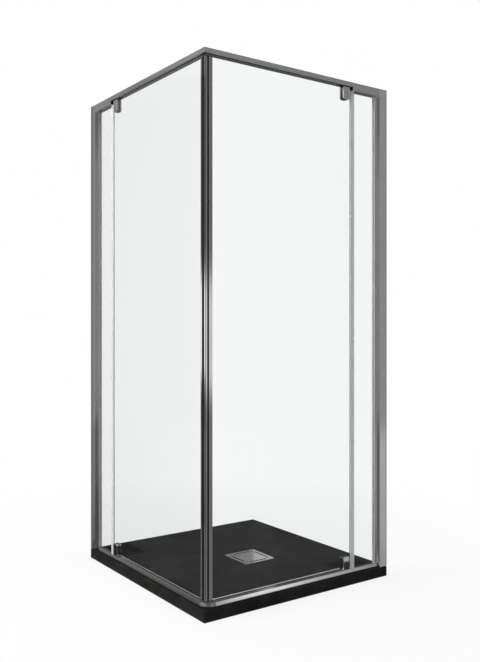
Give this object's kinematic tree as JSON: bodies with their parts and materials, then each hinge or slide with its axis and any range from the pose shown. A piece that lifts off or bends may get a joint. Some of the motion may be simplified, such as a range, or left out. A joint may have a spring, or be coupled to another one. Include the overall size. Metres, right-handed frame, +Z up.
{
  "type": "corner shower enclosure",
  "caption": "Corner-entry shower enclosure: two clear glass sides with outward pivot doors, narrow fixed panels and bright rails on a square slate-effect tray with a drain.",
  "frame": {"origin": "middle of the tray's underside", "axes": "+Z up; the outer corner is at -X -Y, the front runs from it along +X and the side along +Y, and the room's walls stand at +X and +Y"},
  "size_m": [0.9, 0.9, 1.985],
  "materials": {
    "slate_resin": "fine slate-effect mineral resin",
    "waste_plastic": "moulded",
    "stainless": "brushed stainless",
    "bright_aluminium": "bright polished, chrome look",
    "mill_aluminium": "plain mill finish",
    "clamp_chrome": "polished chrome plate",
    "clear_glass": "clear toughened",
    "clear_seal": "translucent soft extrusion",
    "black_rubber": "matt",
    "black_plastic": "moulded"
  },
  "bodies": {
    "enclosure_frame": {"tray": "slate_resin", "waste_flange": "waste_plastic", "drain_cover": "stainless", "cover_screws": "stainless", "threshold_tape": "black_rubber", "threshold_corner": "bright_aluminium", "corner_joiner": "mill_aluminium", "corner_screws": "stainless", "rail_joiners": "mill_aluminium", "profile_screws": "stainless", "bearing_screws": "stainless", "wall_profile_front": "bright_aluminium", "adjust_profile_front": "bright_aluminium", "glazing_gasket_front": "clear_seal", "header_rail_front": "bright_aluminium", "fixed_rail_front": "bright_aluminium", "threshold_front": "bright_aluminium", "fixed_glass_front": "clear_glass", "jamb_seal_front": "clear_seal", "top_bearing_front": "black_plastic", "bottom_bearing_front": "clamp_chrome", "wall_profile_side": "bright_aluminium", "adjust_profile_side": "bright_aluminium", "glazing_gasket_side": "clear_seal", "header_rail_side": "bright_aluminium", "fixed_rail_side": "bright_aluminium", "threshold_side": "bright_aluminium", "fixed_glass_side": "clear_glass", "jamb_seal_side": "clear_seal", "top_bearing_side": "black_plastic", "bottom_bearing_side": "clamp_chrome"},
    "front_door": {"door_glass_front": "clear_glass", "door_edge_front": "bright_aluminium", "magnet_strip_front": "black_plastic", "grip_strip_front": "black_rubber", "edge_caps_front": "black_plastic", "drip_seal_front": "clear_seal", "top_clamp_outer_front": "clamp_chrome", "top_clamp_inner_front": "clamp_chrome", "bottom_clamp_outer_front": "clamp_chrome", "bottom_clamp_inner_front": "clamp_chrome", "clamp_pads_front": "black_rubber", "clamp_screws_front": "stainless", "pivot_pins_front": "stainless"},
    "side_door": {"door_glass_side": "clear_glass", "door_edge_side": "bright_aluminium", "magnet_strip_side": "black_plastic", "grip_strip_side": "black_rubber", "edge_caps_side": "black_plastic", "drip_seal_side": "clear_seal", "top_clamp_outer_side": "clamp_chrome", "top_clamp_inner_side": "clamp_chrome", "bottom_clamp_outer_side": "clamp_chrome", "bottom_clamp_inner_side": "clamp_chrome", "clamp_pads_side": "black_rubber", "clamp_screws_side": "stainless", "pivot_pins_side": "stainless"}
  },
  "joints": [
    {"name": "front_door_pivot", "type": "hinge", "parent": "enclosure_frame", "child": "front_door", "pos_m": [0.23, -0.43, 1], "axis": [0, 0, 1], "range_deg": [0, 90]},
    {"name": "side_door_pivot", "type": "hinge", "parent": "enclosure_frame", "child": "side_door", "pos_m": [-0.43, 0.23, 1], "axis": [0, 0, -1], "range_deg": [0, 90]}
  ]
}
